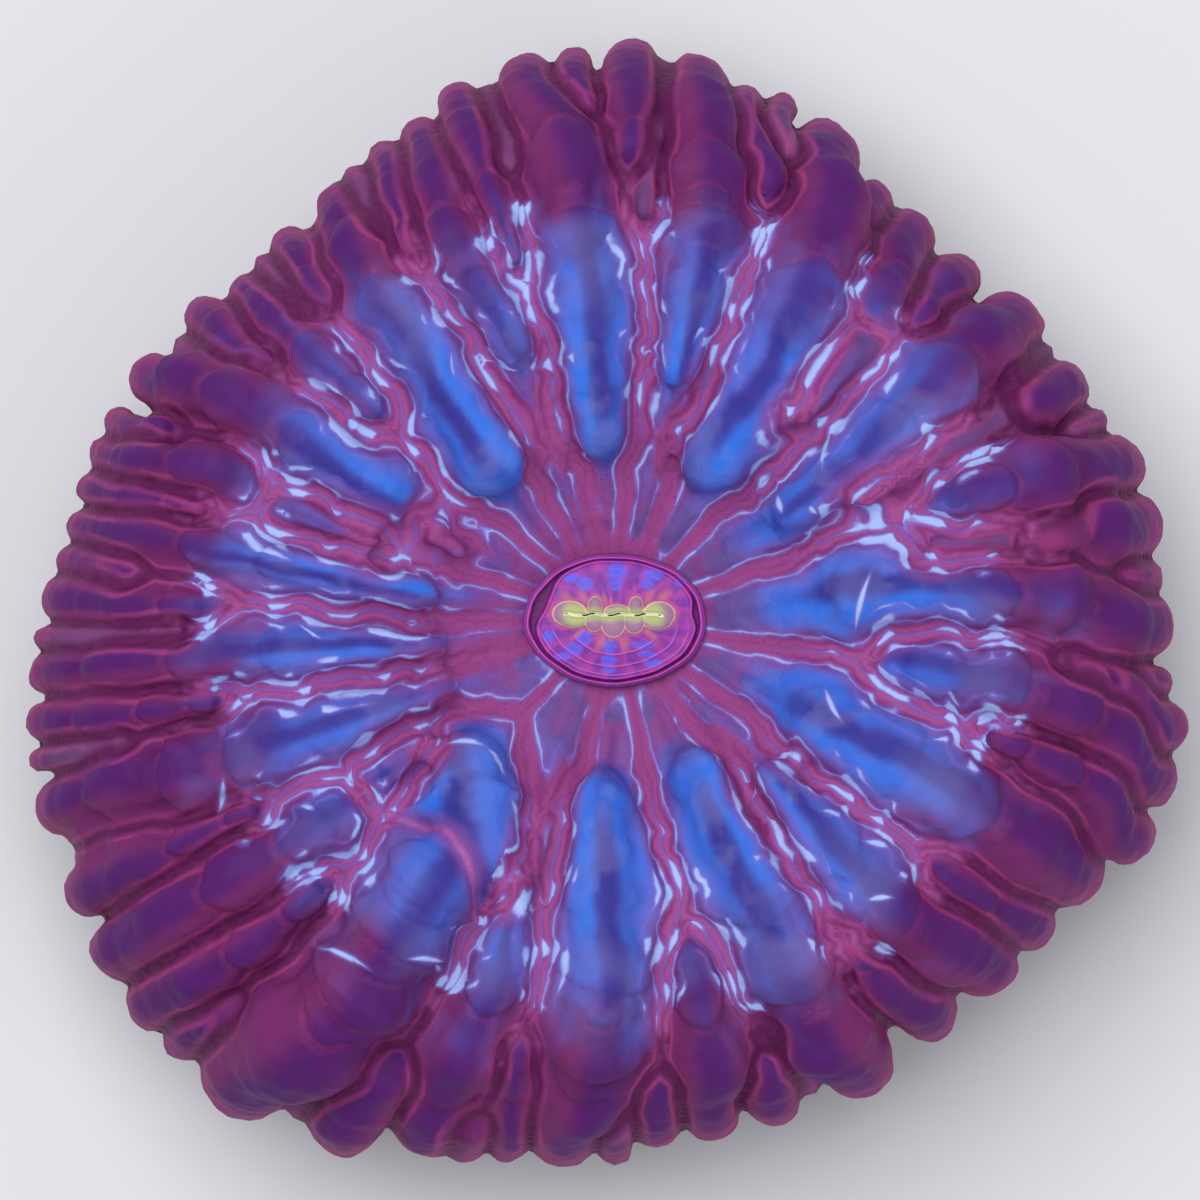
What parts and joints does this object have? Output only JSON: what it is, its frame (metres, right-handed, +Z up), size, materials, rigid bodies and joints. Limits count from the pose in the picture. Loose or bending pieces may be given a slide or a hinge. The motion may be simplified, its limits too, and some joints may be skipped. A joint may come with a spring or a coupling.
{
  "type": "stony coral polyp",
  "caption": "Large-polyp stony coral, a single inflated fleshy polyp: swollen lobes run like spokes from a central oval mouth, over the shoulder and down to a flat cut foot it rests on.",
  "frame": {"origin": "on the flat cut foot, straight below the middle of the mouth", "axes": "+Z up out of the mouth, +X along the mouth's slit, +Y towards the longest upper lobes"},
  "size_m": [0.0645, 0.0626, 0.024],
  "materials": {
    "flesh": "moist fleshy tissue, dusky magenta lobes with blue inner crests, pink and white-blue streaks in the grooves, soft sheen"
  },
  "bodies": {
    "root": {"polyp": "flesh"}
  },
  "joints": []
}
